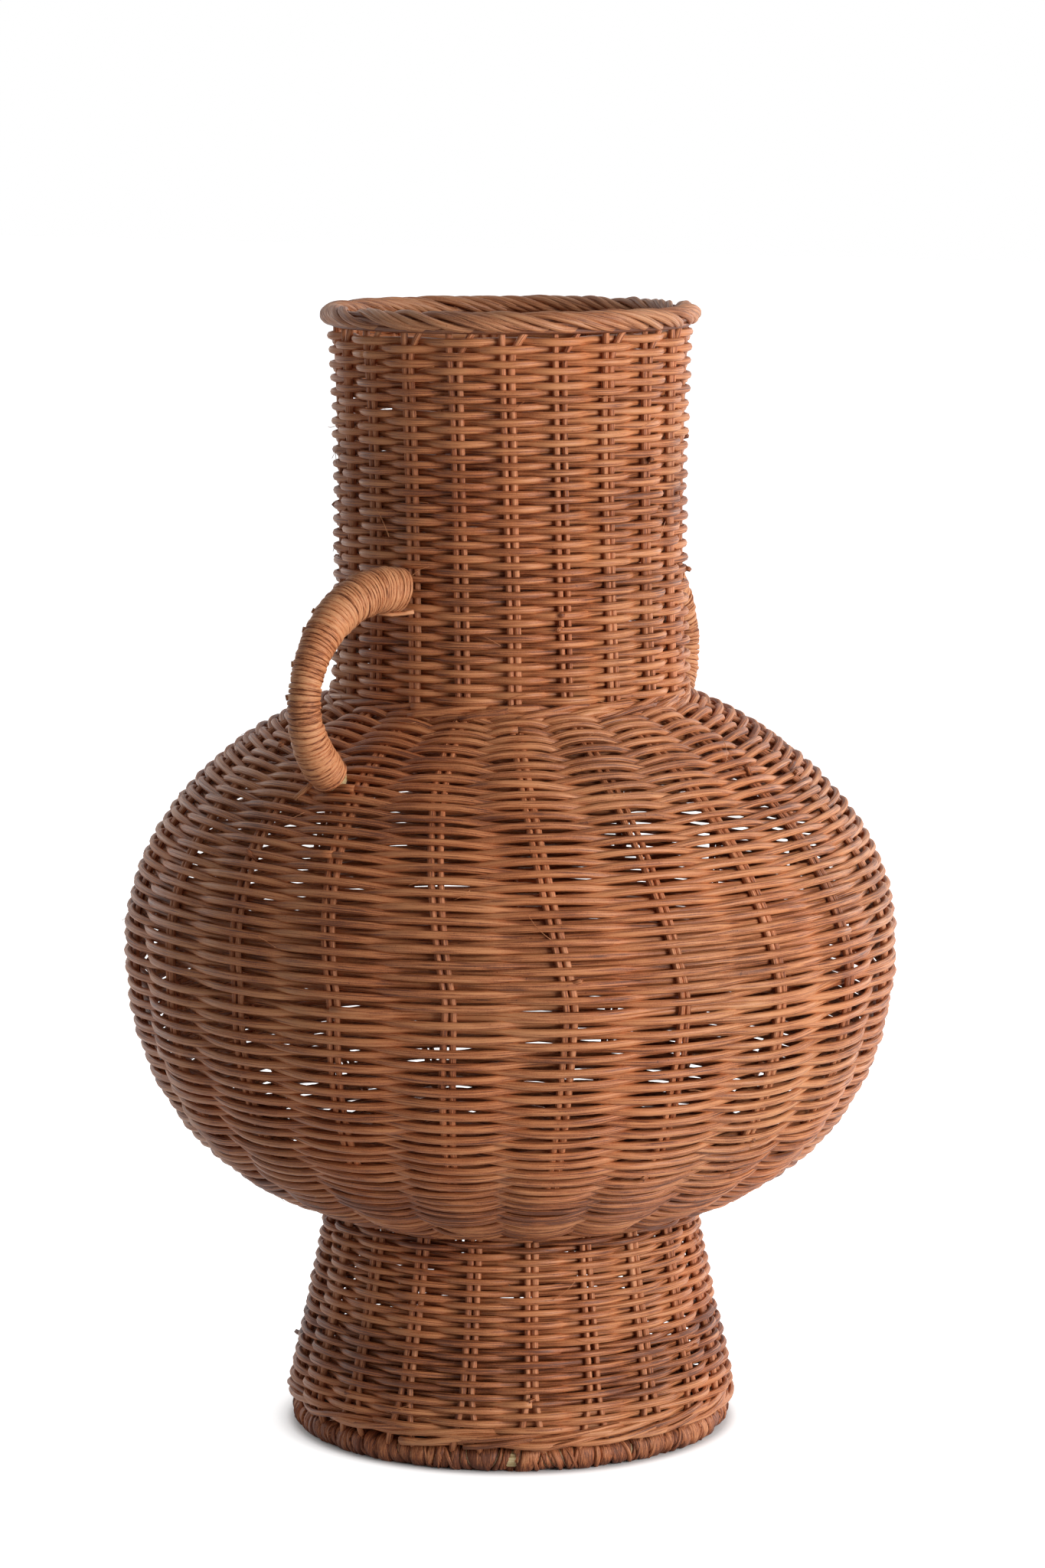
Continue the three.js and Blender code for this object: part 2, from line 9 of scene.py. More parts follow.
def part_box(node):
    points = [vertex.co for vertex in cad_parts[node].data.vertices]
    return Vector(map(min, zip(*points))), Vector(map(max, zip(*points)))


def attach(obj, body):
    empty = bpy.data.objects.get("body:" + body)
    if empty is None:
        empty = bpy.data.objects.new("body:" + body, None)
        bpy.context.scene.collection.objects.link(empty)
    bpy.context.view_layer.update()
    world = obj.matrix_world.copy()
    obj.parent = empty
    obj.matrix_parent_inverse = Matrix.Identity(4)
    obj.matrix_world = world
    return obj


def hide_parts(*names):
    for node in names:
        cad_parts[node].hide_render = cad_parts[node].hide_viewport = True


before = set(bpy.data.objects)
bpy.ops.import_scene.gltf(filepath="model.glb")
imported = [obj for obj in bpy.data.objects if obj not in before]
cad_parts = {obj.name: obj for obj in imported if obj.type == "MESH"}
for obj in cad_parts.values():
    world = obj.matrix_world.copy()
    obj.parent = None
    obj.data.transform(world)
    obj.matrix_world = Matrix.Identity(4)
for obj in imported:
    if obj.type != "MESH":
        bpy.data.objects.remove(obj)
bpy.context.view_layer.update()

# The hoop that the vase stands on: a pale bent pole, bound all round with flat strips of split cane. The
# strips are of uneven width, lie a little askew and over each other, and leave the pole bare in one place.
mm = 0.001
full_turn = 2 * math.pi
hoop_radius = 92.2 * mm
hoop_height = 5.3 * mm
hoop_pole_thick = 4.2 * mm
hoop_pole_sides = 14
hoop_pole_steps = 120
hoop_pole_tone = 0.6
hoop_strip = 1.3 * mm
hoop_strip_width = 4.4 * mm
hoop_strip_sides = 26
strip_levels = ((0.0, 0.0), (0.08, 0.75), (0.22, 1.0), (0.78, 1.0), (0.92, 0.75))
strip_widths = (0.35, 1.8)
strip_lift = (-0.6 * mm, 0.9 * mm)
strip_lean = 6 * mm
strip_lean_from = 0.7
strip_edge_up = 1.0 * mm
strip_seam = 0.6 * mm
strip_ripple = 0.18 * mm
# Each strip's own tone at random, set low over all as painted shade on the hoop.
strip_tones_and_shade = (-0.3, 0.5)
# Painted shade along the seams between the hoop's strips.
strip_seam_shade = 0.9
# Painted shade under the hoop starts this far down round the tube.
underside_shade_from = 0.1
bare_angle = math.radians(-143.2)
bare_length = 1.9 * mm
bare_down_to = -0.75
bare_sink = 0.9
fibre_width = 1.3 * mm
fibre_stretch = 60
strip_fibre_squeeze = 9
strip_fibre_step = 0.31 * mm


def cane_finish(name, dark, middle, light, roughness, gloss):
    """Rattan: fibres, pores and fine lines along the cane, blotches, specks, and each length's own tone, into
    which some pieces paint shade.
    """
    finish = bpy.data.materials.new(name)
    finish.use_nodes = True
    nodes, links = finish.node_tree.nodes, finish.node_tree.links
    shader = nodes["Principled BSDF"]
    shader.inputs["Specular IOR Level"].default_value = gloss

    def attribute(name):
        made = nodes.new("ShaderNodeAttribute")
        made.attribute_name = name
        return made.outputs

    def noise(vector, scale, detail):
        made = nodes.new("ShaderNodeTexNoise")
        made.inputs["Scale"].default_value = scale
        made.inputs["Detail"].default_value = detail
        made.inputs["Roughness"].default_value = 0.6
        links.new(vector, made.inputs["Vector"])
        return made.outputs["Fac"]

    def summed(first, share, second):
        made = nodes.new("ShaderNodeMath")
        made.operation = "MULTIPLY_ADD"
        made.inputs[1].default_value = share
        links.new(first, made.inputs[0])
        links.new(second, made.inputs[2])
        return made.outputs[0]

    def ranged(value, low, high, to_low=0.0, to_high=1.0):
        made = nodes.new("ShaderNodeMapRange")
        made.inputs["From Min"].default_value = low
        made.inputs["From Max"].default_value = high
        made.inputs["To Min"].default_value = to_low
        made.inputs["To Max"].default_value = to_high
        links.new(value, made.inputs["Value"])
        return made.outputs["Result"]

    on_vase = nodes.new("ShaderNodeTexCoord").outputs["Object"]
    along_fibres = attribute("grain")["Vector"]
    shortened = nodes.new("ShaderNodeVectorMath")
    shortened.operation = "MULTIPLY"
    shortened.inputs[1].default_value = (1.6, 1, 1)
    links.new(along_fibres, shortened.inputs[0])
    along_pores = shortened.outputs["Vector"]
    fibres = noise(along_fibres, scale=0.9, detail=2)
    pores = noise(along_pores, scale=2.3, detail=2)
    lines = ranged(noise(along_pores, scale=3.1, detail=1), low=0.4, high=0.48)
    mottle = noise(on_vase, scale=1800, detail=2)
    specks = ranged(noise(on_vase, scale=700, detail=2), low=0.66, high=0.74)
    shade = ranged(noise(on_vase, scale=40, detail=3), low=0.3, high=0.7, to_low=-2.06, to_high=-1.58)
    tone = attribute("tone")["Fac"]
    for part, share in (
        (fibres, 1.1), (pores, 2.2), (lines, 0.36), (mottle, 0.6), (tone, 0.6), (specks, -0.3),
    ):
        shade = summed(part, share, shade)
    ramp = nodes.new("ShaderNodeValToRGB")
    ramp.color_ramp.elements[0].position = 0.05
    ramp.color_ramp.elements[0].color = (*dark, 1)
    ramp.color_ramp.elements[1].position = 1.0
    ramp.color_ramp.elements[1].color = (*light, 1)
    ramp.color_ramp.elements.new(0.52).color = (*middle, 1)
    links.new(shade, ramp.inputs["Fac"])
    redder = nodes.new("ShaderNodeMix")
    redder.data_type = "RGBA"
    redder.blend_type = "MULTIPLY"
    redder.inputs["B"].default_value = (1.0, 0.87, 0.79, 1)
    links.new(ranged(noise(on_vase, scale=14, detail=2), low=0.35, high=0.65), redder.inputs["Factor"])
    links.new(ramp.outputs["Color"], redder.inputs["A"])
    links.new(redder.outputs["Result"], shader.inputs["Base Color"])
    rough = ranged(fibres, low=0.3, high=0.7, to_low=roughness + 0.12, to_high=roughness - 0.08)
    links.new(rough, shader.inputs["Roughness"])
    bump = nodes.new("ShaderNodeBump")
    bump.inputs["Strength"].default_value = 0.8
    bump.inputs["Distance"].default_value = 0.4 * mm
    links.new(summed(fibres, 1.0, pores), bump.inputs["Height"])
    links.new(bump.outputs["Normal"], shader.inputs["Normal"])
    return finish


def show(name, mesh, finish, slot, *nodes):
    """Puts a finished mesh in the scene as a piece of the vase that stands for these CAD nodes."""
    mesh.materials.clear()
    mesh.materials.append(finish)
    mesh.shade_smooth()
    piece = bpy.data.objects.new(name, mesh)
    bpy.context.scene.collection.objects.link(piece)
    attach(piece, "root")
    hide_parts(*nodes)


def mark(mesh, tone, grain):
    """Keeps each point's tone, painted shade included, and its place among the fibres on the mesh, for the
    finish to read.
    """
    mesh.attributes.new("tone", "FLOAT", "POINT").data.foreach_set("value", tone.astype(np.float32))
    fibre_place = mesh.attributes.new("grain", "FLOAT_VECTOR", "POINT")
    fibre_place.data.foreach_set("vector", (grain / fibre_width).astype(np.float32).ravel())


def around(out, angle, up):
    """Points at a distance out from the vase's axis, an angle round it and a height up."""
    return np.column_stack(np.broadcast_arrays(out * np.cos(angle), out * np.sin(angle), up))


def points_of(mesh):
    """A mesh's points as rows of x, y and z."""
    flat = np.empty(len(mesh.vertices) * 3, np.float32)
    mesh.vertices.foreach_get("co", flat)
    return flat.reshape(-1, 3).astype(float)


def hoop_tube(name, thick, sides, steps):
    """A round tube bent into a ring, as a mesh."""
    shape = bmesh.new()
    bmesh.ops.create_circle(shape, segments=sides, radius=thick)
    bmesh.ops.rotate(shape, verts=shape.verts, matrix=Matrix.Rotation(math.pi / 2, 3, "X"))
    bmesh.ops.translate(shape, verts=shape.verts, vec=(hoop_radius, 0, hoop_height))
    bmesh.ops.spin(
        shape, geom=shape.verts[:] + shape.edges[:], cent=(0, 0, 0), axis=(0, 0, 1), angle=full_turn,
        steps=steps, use_merge=True,
    )
    bmesh.ops.recalc_face_normals(shape, faces=shape.faces)
    mesh = bpy.data.meshes.new(name)
    shape.to_mesh(mesh)
    shape.free()
    return mesh


def hoop_place(points):
    """How far round the hoop each point is, how far round the tube, and how far from its middle."""
    out = np.hypot(points[:, 0], points[:, 1]) - hoop_radius
    up = points[:, 2] - hoop_height
    return np.arctan2(points[:, 1], points[:, 0]), np.arctan2(up, out), np.hypot(out, up)


def off_bare(angle):
    """How far along the hoop an angle is from the middle of the bare place."""
    return np.abs((angle - bare_angle + math.pi) % full_turn - math.pi) * hoop_radius


def underside_shade(round_tube):
    """How far under the hoop a place round its tube is, from 0 to 1, for the painted shade that darkens the
    strips there.
    """
    return np.clip(-underside_shade_from - np.sin(round_tube), 0, 1)


pole_finish = cane_finish(
    "bare_pole", (0.23, 0.16, 0.06), (0.48, 0.36, 0.16), (0.66, 0.55, 0.31), roughness=0.34, gloss=0.5
)
hoop_finish = cane_finish(
    "hoop_split_cane", (0.12, 0.031, 0.01), (0.42, 0.14, 0.052), (0.64, 0.28, 0.125),
    roughness=0.55, gloss=0.4,
)
hoop_pole = hoop_tube("hoop_pole_bent", hoop_pole_thick, hoop_pole_sides, hoop_pole_steps)
round_hoop, round_tube, reach = hoop_place(points_of(hoop_pole))
mark(hoop_pole, np.full(len(reach), hoop_pole_tone), np.column_stack([
    hoop_radius * round_hoop / fibre_stretch, reach * np.cos(round_tube), reach * np.sin(round_tube),
]))
show("hoop_pole_bent", hoop_pole, pole_finish, "pole", "hoop_pole")

chance = np.random.default_rng(11)
hoop_turns = round(full_turn * hoop_radius / hoop_strip_width)
widths = chance.uniform(*strip_widths, hoop_turns)
joins = np.concatenate([[0], np.cumsum(widths)]) * full_turn / widths.sum()
hoop_steps = hoop_turns * len(strip_levels)
lashing = hoop_tube("hoop_strips", hoop_pole_thick + hoop_strip, hoop_strip_sides, hoop_steps)
round_hoop, round_tube, reach = hoop_place(points_of(lashing))
ring = np.round((round_hoop % full_turn) * hoop_steps / full_turn).astype(int) % hoop_steps
turn, level = np.divmod(ring, len(strip_levels))
across, crown = np.array(strip_levels)[level].T
lift = chance.uniform(*strip_lift, hoop_turns)[turn]
lean = chance.uniform(-strip_lean, strip_lean, hoop_turns + 1) / hoop_radius
lean[-1] = lean[0]
lean_here = lean[turn] * (1 - across) + lean[turn + 1] * across
angle = joins[turn] + (joins[turn + 1] - joins[turn]) * across
angle += lean_here * np.sin(round_tube / 2 + strip_lean_from)
edge_up = chance.uniform(-strip_edge_up, strip_edge_up, hoop_turns)[turn] * (across - 0.5)
stand = hoop_pole_thick + crown * (hoop_strip + lift + edge_up) - (1 - crown) * strip_seam
stand += strip_ripple * np.sin(3 * round_tube + turn) * crown
bare = (off_bare(angle) < bare_length) & (np.sin(round_tube) > bare_down_to)
stand[bare] = hoop_pole_thick * bare_sink
out = hoop_radius + stand * np.cos(round_tube)
up = np.maximum(hoop_height + stand * np.sin(round_tube), 0)
lashing.vertices.foreach_set("co", around(out, angle, up).astype(np.float32).ravel())
# A strip's tone: its own, set low as painted shade, with painted shade in the seams and under the hoop.
tone = chance.uniform(*strip_tones_and_shade, hoop_turns)[turn] - strip_seam_shade * (1 - crown) - underside_shade(round_tube)
mark(lashing, tone, np.column_stack([
    angle * hoop_radius,
    stand * np.cos(round_tube) / strip_fibre_squeeze,
    stand * np.sin(round_tube) / strip_fibre_squeeze + turn * strip_fibre_step,
]))
show("hoop_strips", lashing, hoop_finish, "strip", "hoop_lashing")

# The floor of the vase: round rattan core woven in a spiral, over and under spokes that run out to the wall.
# Two pairs of sticks, a little thicker than the spokes, cross in its middle.
floor_low, floor_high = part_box("floor_mat")
floor_height = (floor_low.z + floor_high.z) / 2
floor_edge = floor_high.x
floor_cane = 1.7 * mm
floor_start = 9 * mm
floor_pitch = 3.4 * mm
floor_swing = 2.4 * mm
floor_steps = 6
floor_length, floor_overlap, floor_shortest = 400, 20, 60
floor_darker = 0.8
floor_tones = (0, 0.8)
spokes = 21
spoke_thick = 1.35 * mm
spoke_points = 12
spoke_tones = (0.2, 0.7)
stick_points = 9
stick_shift = 1.4 * mm
stick_tone = 0.5
cane_colours = ((0.12, 0.032, 0.0095), (0.435, 0.15, 0.054), (0.66, 0.29, 0.124))
cane_tip = 0.02
cane_tip_closed = 1e-6
cane_fibre_step = 7.3 * mm


def bevelled(name, thick, roundness):
    """A curve without lines yet, whose lines become round tubes."""
    curve = bpy.data.curves.new(name, "CURVE")
    curve.dimensions = "3D"
    curve.bevel_depth = thick
    curve.bevel_resolution = roundness
    return curve


def add_line(curve, points, thick):
    """Adds a line through these points to a curve, with how thick it is at each."""
    spline = curve.splines.new("POLY")
    spline.points.add(len(points) - 1)
    spline.points.foreach_set("co", np.column_stack([points, np.ones(len(points))]).ravel())
    spline.points.foreach_set("radius", thick)


def made_mesh(curve):
    """The mesh of a curve's tubes, with the curve itself taken away."""
    holder = bpy.data.objects.new(curve.name, curve)
    bpy.context.scene.collection.objects.link(holder)
    graph = bpy.context.evaluated_depsgraph_get()
    mesh = bpy.data.meshes.new_from_object(holder.evaluated_get(graph))
    mesh.name = curve.name
    bpy.data.objects.remove(holder)
    bpy.data.curves.remove(curve)
    return mesh


def canes(name, runs, roundness=2):
    """Round canes as one mesh. Each run is its points, its thickness and its tone, for all or for each."""
    curve = bevelled(name, 1.0, roundness)
    sides = 4 + 2 * roundness
    corners = np.arange(sides) * full_turn / sides
    tones, grains, ends = [], [], []
    for number, (points, thick, tone) in enumerate(runs):
        points = np.vstack([points[:1], points, points[-1:]])
        thick = np.concatenate([[0], np.broadcast_to(thick, len(points) - 2), [0]])
        points[0] += (points[1] - points[2]) * cane_tip
        points[-1] += (points[-2] - points[-3]) * cane_tip
        add_line(curve, points, thick)
        steps = np.linalg.norm(np.diff(points, axis=0), axis=1)
        along = np.repeat(np.concatenate([[0], np.cumsum(steps)]), sides)
        out = np.repeat(np.maximum(thick, thick.max() / 2), sides)
        round_cane = np.tile(corners, len(points))
        tones.append(np.repeat(np.pad(np.broadcast_to(tone, len(points) - 2), 1, "edge"), sides))
        grains.append(np.column_stack([
            along / fibre_stretch + number * cane_fibre_step,
            out * np.cos(round_cane),
            out * np.sin(round_cane),
        ]))
        closed = np.zeros(len(points), bool)
        closed[[0, -1]] = True
        ends.append(np.repeat(closed, sides))
    mesh = made_mesh(curve)
    mark(mesh, np.concatenate(tones), np.vstack(grains))
    shape = bmesh.new()
    shape.from_mesh(mesh)
    shape.verts.ensure_lookup_table()
    tips = [shape.verts[i] for i in np.flatnonzero(np.concatenate(ends))]
    bmesh.ops.remove_doubles(shape, verts=tips, dist=cane_tip_closed)
    shape.to_mesh(mesh)
    shape.free()
    return mesh


floor_colours = [tuple(floor_darker * part for part in colour) for colour in cane_colours]
floor_finish = cane_finish("floor_cane", *floor_colours, roughness=0.58, gloss=0.4)
chance = np.random.default_rng(23)
floor_turns = (floor_edge - floor_start) / floor_pitch
passed = np.arange(0, floor_turns * spokes, 1 / floor_steps)
height = floor_height + floor_swing * np.cos(math.pi * passed)
spiral = around(floor_start + floor_pitch * passed / spokes, passed * full_turn / spokes, height)
runs = []
for first in range(0, len(spiral) - floor_shortest, floor_length):
    length = spiral[first:first + floor_length + floor_overlap]
    runs.append((length, floor_cane, chance.uniform(*floor_tones)))
for spoke in range(spokes):
    reach = np.linspace(floor_start, floor_edge, spoke_points)
    line = around(reach, spoke * full_turn / spokes, floor_height)
    runs.append((line, spoke_thick, chance.uniform(*spoke_tones)))
show("woven_floor", canes("woven_floor", runs), floor_finish, "floor", "floor_mat")
for name in ("floor_stick_a1", "floor_stick_a2", "floor_stick_b1", "floor_stick_b2"):
    low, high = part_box(name)
    middle = (low + high) / 2
    along = max(range(3), key=lambda axis: high[axis] - low[axis])
    line = np.tile(np.array(middle), (stick_points, 1))
    line[:, along] = np.linspace(low[along], high[along], stick_points)
    line[:, 2] += stick_shift if along == 0 else -stick_shift
    stick = canes(name + "_cane", [(line, (high.z - low.z) / 2, stick_tone)])
    show(name + "_cane", stick, floor_finish, "stake", name)

# Over the hoop's strips lie the loose ends of others, each pulled slantwise round the outside and tucked
# under. None of them lies over the bare place.
loose_ends = 64
loose_end_points = 9
loose_end_from, loose_end_to = (100, 150), (-95, -60)
loose_end_slant = (2 * mm, 9 * mm)
loose_end_stray = 0.03
loose_end_sunk, loose_end_lift = -0.9 * mm, (-0.2 * mm, 0.4 * mm)
loose_end_thick = (0.75 * mm, 1.15 * mm)
# Each loose end's own tone at random, set low over all as painted shade on the hoop.
loose_end_tones_and_shade = (-0.35, 0.5)
chance = np.random.default_rng(17)
runs = []
for end in range(loose_ends):
    degrees = (chance.uniform(*loose_end_from), chance.uniform(*loose_end_to))
    round_tube = np.linspace(*np.radians(degrees), loose_end_points)
    slant = np.linspace(0, chance.choice((-1, 1)) * chance.uniform(*loose_end_slant), loose_end_points)
    angle = end * full_turn / loose_ends + chance.uniform(-loose_end_stray, loose_end_stray)
    angle = angle + slant / hoop_radius
    lift = np.linspace(loose_end_sunk, chance.uniform(*loose_end_lift), loose_end_points)
    stand = hoop_pole_thick + hoop_strip + lift
    thick = chance.uniform(*loose_end_thick)
    up = np.maximum(hoop_height + stand * np.sin(round_tube), thick)
    end_line = around(hoop_radius + stand * np.cos(round_tube), angle, up)
    # Each loose end's tone, with painted shade under the hoop.
    tone = chance.uniform(*loose_end_tones_and_shade) - underside_shade(round_tube)
    if off_bare(angle).min() > bare_length + thick:
        runs.append((end_line, thick, tone))
show("hoop_strip_ends", canes("hoop_strip_ends", runs, 1), hoop_finish, "strip", "hoop_lashing")

# The stakes: pairs of round rattan core that stand all the way up the wall. They spread apart at the bottom
# of the foot, where the hoop's strips cover their ends, and one of each pair leans over into the rim.
stake_pairs = 21
stake_thick = 1.48 * mm
stake_thick_shares = (0.86, 1.12)
stake_tones = (0.1, 0.8)
stake_points = 110
stake_top = 4 * mm
stake_outward = 0.8 * mm
stake_outward_from = 30 * mm
pair_gap = 1.72 * mm
wobble = 0.35 * mm
wobble_points = 14
spread_height = 26 * mm
spread_bend = 1.2
spread_reach = (3.5 * mm, 6.0 * mm)
lean_height = 9 * mm
lean_bend = 1.3
lean_reach = 5 * mm
wall_bottom, waist, belly, neck_base = (95.2, 8.6), (79.2, 103.2), (167.5, 218.3), (75.5, 326.3)
foot_line = ((96.2, 11.3), (97.7, 19.2), (85.6, 55.6), waist)
underside_line = (waist, (137.0, 115.2), (167.5, 162.7), belly)
shoulder_axis = 121.0
shoulder_turn = math.radians(63.21)
neck_line = (neck_base, (71.1, 408.0), (75.5, 489.7))
foot_points, underside_points, shoulder_points, neck_points = 60, 120, 120, 90
wall_points = 1400
corner_ease = 5 * mm
way_ease = 9 * mm
drift_heights = np.array((foot_line[0][1], belly[1], neck_base[1], neck_line[-1][1])) * mm
drift_degrees = (7.5, 10.8, 4.0, 1.2)


def bent(corners, steps):
    """Points along a bent line that leaves its first corner and comes to its last one."""
    t = np.linspace(0, 1, steps)[:, None]
    most = len(corners) - 1
    return sum(
        math.comb(most, k) * t ** k * (1 - t) ** (most - k) * np.array(corner)
        for k, corner in enumerate(corners)
    )


def eased(rows, count):
    """Rows of two numbers, each averaged over an odd count of rows. Those at both ends stay as they are."""
    edge = count // 2
    for k in (0, 1):
        rows[edge:-edge, k] = np.convolve(rows[:, k], np.full(count, 1 / count), "valid")
    return rows


turn = np.linspace(0, shoulder_turn, shoulder_points)[1:]
shoulder_line = np.column_stack([belly[0] * np.cos(turn), belly[1] + shoulder_axis * np.sin(turn)])
wall_line = np.vstack([
    [wall_bottom], bent(foot_line, foot_points), bent(underside_line, underside_points)[1:],
    shoulder_line, bent(neck_line, neck_points)[1:],
]) * mm
run = np.concatenate([[0], np.cumsum(np.hypot(*np.diff(wall_line, axis=0).T))])
wall_run = np.linspace(0, run[-1], wall_points)
wall_line = np.column_stack([np.interp(wall_run, run, wall_line[:, k]) for k in (0, 1)])
step = wall_run[1]
wall_line = eased(wall_line, round(corner_ease / step) | 1)
way = eased(np.gradient(wall_line, step, axis=0), round(way_ease / step) | 1)
way /= np.linalg.norm(way, axis=1)[:, None]
waist_run = float(np.interp(waist[1] * mm, wall_line[:, 1], wall_run))
neck_run = float(np.interp(neck_base[1] * mm, wall_line[:, 1], wall_run))
wall_end = float(wall_run[-1])


def on_wall(run, across, angle, sideways=0.0):
    """Points at a run up the wall's middle line, across it, and at an angle round the vase."""
    out, up = (np.interp(run, wall_run, wall_line[:, k]) for k in (0, 1))
    way_out, way_up = (np.interp(run, wall_run, way[:, k]) for k in (0, 1))
    out, up = out + across * way_up, up - across * way_out
    x = out * np.cos(angle) - sideways * np.sin(angle)
    y = out * np.sin(angle) + sideways * np.cos(angle)
    return np.column_stack([x, y, np.broadcast_to(up, x.shape)])


def drift(run):
    """How far the stakes have wandered round the vase, at a run up the wall."""
    return np.radians(np.interp(np.interp(run, wall_run, wall_line[:, 1]), drift_heights, drift_degrees))


stake_finish = cane_finish(
    "stake_cane", (0.14, 0.038, 0.013), (0.47, 0.166, 0.065), (0.68, 0.31, 0.15), roughness=0.55, gloss=0.4
)
chance = np.random.default_rng(5)
runs = []
up = np.linspace(0, wall_end + stake_top, stake_points)
rise = np.clip(up, 0, wall_end)
outward = np.interp(up, (0, stake_outward_from), (0, stake_outward))
lean = np.clip((up - wall_end + lean_height) / lean_height, 0, 2) ** lean_bend * lean_reach
for pair in range(stake_pairs):
    base = math.pi + pair * full_turn / stake_pairs
    for side in (-1, 1):
        strays = chance.normal(0, wobble, wobble_points)
        spread = np.clip(1 - up / spread_height, 0, 1) ** spread_bend * chance.uniform(*spread_reach)
        sideways = side * (pair_gap + spread)
        sideways += np.interp(up, np.linspace(up[0], up[-1], wobble_points), strays)
        if side > 0:
            sideways += lean
        line = on_wall(rise, outward, base + drift(rise), sideways)
        line[:, 2] += up - rise
        runs.append((line, stake_thick * chance.uniform(*stake_thick_shares), chance.uniform(*stake_tones)))
names = [f"stake_{pair + 1:02d}_{letter}" for pair in range(stake_pairs) for letter in "ab"]
show("stakes", canes("stakes", runs), stake_finish, "stake", *names)

# The foot's weave: one round rattan core after another, woven in front of one pair of stakes and behind the
# next, round and round, so that each row lies the other way to the rows above and below it.
weave_steps = 8
climb_points = 800
row_stray = 0.55 * mm
row_sway = 1.0 * mm
sway_passes = 7
bow_shares = (0.86, 1.1)
bow_slip = 0.07
bow_flat = 0.3
bow_outward = 0.08
length_passes = (22, 48)
length_thick = (0.93, 1.07)
length_tones = (0, 0.85)
swell_share = 0.05
swell_points = 30
# Painted shade: the rows are darker on the foot and most under the belly, and keep their own tone at the
# neck.
painted_shade_at = (
    (0, -0.15), (waist_run, -0.22), (waist_run + 60 * mm, -0.38), (waist_run + 150 * mm, -0.1),
    (neck_run, 0.02),
)


def reading(run, table):
    """A value at a run, from pairs of a run and the value there."""
    return np.interp(run, *np.array(table).T)


def woven(name, start, end, seed, thick_at, pitch_at, loose_at, swing_at):
    """Rows of weaving up the wall, with how thick, close, loose and far in and out they are at each run."""
    chance = np.random.default_rng(seed)
    climb = np.linspace(start, end, climb_points)
    rows = np.concatenate([[0], np.cumsum(np.diff(climb) / reading(climb, pitch_at)[1:])])
    passes = int(rows[-1] * stake_pairs)
    place = np.arange(0, passes * weave_steps + 1) / weave_steps
    crossings = np.arange(passes + 2)
    stray = np.interp(place, crossings, chance.normal(0, row_stray, passes + 2))
    sways = chance.normal(0, row_sway, passes // sway_passes + 3)
    sway = np.interp(place / sway_passes, np.arange(len(sways)), sways)
    run = np.interp(place / stake_pairs, rows, climb)
    run = np.clip(run + reading(run, loose_at) * (stray + sway), start, end)
    angle = math.pi + place * full_turn / stake_pairs + drift(run)
    bow = np.interp(place, crossings, chance.uniform(*bow_shares, passes + 2))
    slip = np.interp(place, crossings, chance.normal(0, bow_slip, passes + 2))
    wave = np.cos(math.pi * (place + slip))
    wave *= 1 + bow_flat - bow_flat * wave ** 2
    line = on_wall(run, reading(run, swing_at) * (bow_outward + bow * wave), angle)
    thick = reading(run, thick_at)
    painted_shade = reading(run, painted_shade_at)
    runs = []
    first = 0
    while first < passes:
        last = min(passes, first + 2 * int(chance.integers(*length_passes)) + 1)
        part = slice(first * weave_steps, last * weave_steps + 1)
        length = line[part]
        knots = np.arange(0, len(length) + swell_points, swell_points)
        swell = np.interp(np.arange(len(length)), knots, chance.normal(1, swell_share, len(knots)))
        length_thickness = thick[part] * chance.uniform(*length_thick) * swell
        runs.append((length, length_thickness, painted_shade[part] + chance.uniform(*length_tones)))
        first = last
    return canes(name, runs)


weave_finish = cane_finish("weaving_cane", *cane_colours, roughness=0.48, gloss=0.43)
foot_start = 4.0 * mm
foot_cane = ((0, 1.6 * mm), (waist_run, 1.55 * mm))
foot_pitch = (
    (0, 2.9 * mm), (waist_run * 0.4, 2.8 * mm), (waist_run * 0.75, 2.7 * mm), (waist_run, 2.72 * mm),
)
foot_loose = ((0, 0.22), (waist_run * 0.5, 0.17), (waist_run * 0.8, 0.2), (waist_run, 0.22))
foot_swing = ((0, 2.9 * mm), (waist_run * 0.5, 2.7 * mm), (waist_run, 2.6 * mm))
foot_rows = woven("foot_rows", foot_start, waist_run, 31, foot_cane, foot_pitch, foot_loose, foot_swing)
show("foot_rows", foot_rows, weave_finish, "weave", "foot_weave")

# The belly's weave, of core that thickens on the way up. The rows are packed close under the belly and wider
# apart above it, and stray most on the shoulder. Light shows through here and there beside the stakes.
belly_start = waist_run - 1.2 * mm
belly_run = (waist_run + neck_run) / 2
belly_end = neck_run - 0.5 * mm
belly_cane = ((waist_run, 1.4 * mm), (waist_run + 60 * mm, 1.72 * mm), (neck_run, 1.76 * mm))
belly_pitch = (
    (waist_run, 2.5 * mm), (waist_run + 45 * mm, 2.7 * mm), (waist_run + 80 * mm, 2.76 * mm),
    (belly_run, 2.93 * mm), (neck_run - 90 * mm, 2.86 * mm), (neck_run - 60 * mm, 2.84 * mm),
    (neck_run, 3.05 * mm),
)
belly_loose = (
    (waist_run, 0.2), (waist_run + 60 * mm, 0.16), (waist_run + 85 * mm, 0.22), (belly_run, 0.12),
    (neck_run - 105 * mm, 0.12), (neck_run - 75 * mm, 0.24), (neck_run - 45 * mm, 0.5), (neck_run, 0.8),
)
belly_swing = (
    (waist_run, 2.7 * mm), (waist_run + 60 * mm, 2.85 * mm), (waist_run + 90 * mm, 2.75 * mm),
    (belly_run, 3.3 * mm), (neck_run - 100 * mm, 2.8 * mm), (neck_run - 60 * mm, 2.5 * mm),
    (neck_run - 30 * mm, 2.7 * mm), (neck_run, 2.5 * mm),
)
for name, start, end, seed in (
    ("lower_belly_rows", belly_start, belly_run, 41),
    ("upper_belly_rows", belly_run, belly_end, 43),
):
    rows = woven(name, start, end, seed, belly_cane, belly_pitch, belly_loose, belly_swing)
    show(name, rows, weave_finish, "weave", "belly_weave")

